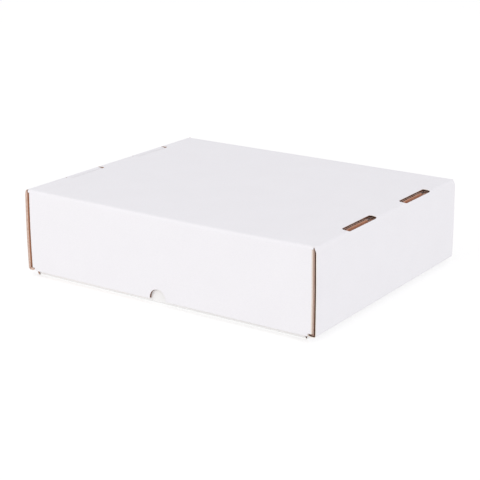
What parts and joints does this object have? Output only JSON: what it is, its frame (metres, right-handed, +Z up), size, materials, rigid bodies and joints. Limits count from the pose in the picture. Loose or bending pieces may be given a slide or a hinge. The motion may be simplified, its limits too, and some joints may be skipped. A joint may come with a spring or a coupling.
{
  "type": "trading card storage box",
  "caption": "Low rectangular storage box for trading cards in plain white corrugated board: a tray with long card rows under a full-depth lift-off lid with rolled ends and thumb cuts.",
  "frame": {"origin": "middle of the underside of the box, at the height of the floor that it stands on", "axes": "+X to the right along the card rows, +Z up, -Y towards the front wall"},
  "size_m": [0.4, 0.325, 0.1045],
  "materials": {
    "tray_board": "matt white liner outside, brown kraft inside",
    "lid_board": "smooth matt white liner outside, brown kraft inside and in the cut edges",
    "divider_board": "matt white liner"
  },
  "bodies": {
    "tray": {"tray": "tray_board", "row_divider_front": "divider_board", "row_divider_rear": "divider_board"},
    "lid": {"lid": "lid_board"}
  },
  "joints": [
    {"name": "lid_lift", "type": "slide", "parent": "tray", "child": "lid", "axis": [0, 0, 1], "range_m": [0, 0.12]}
  ]
}
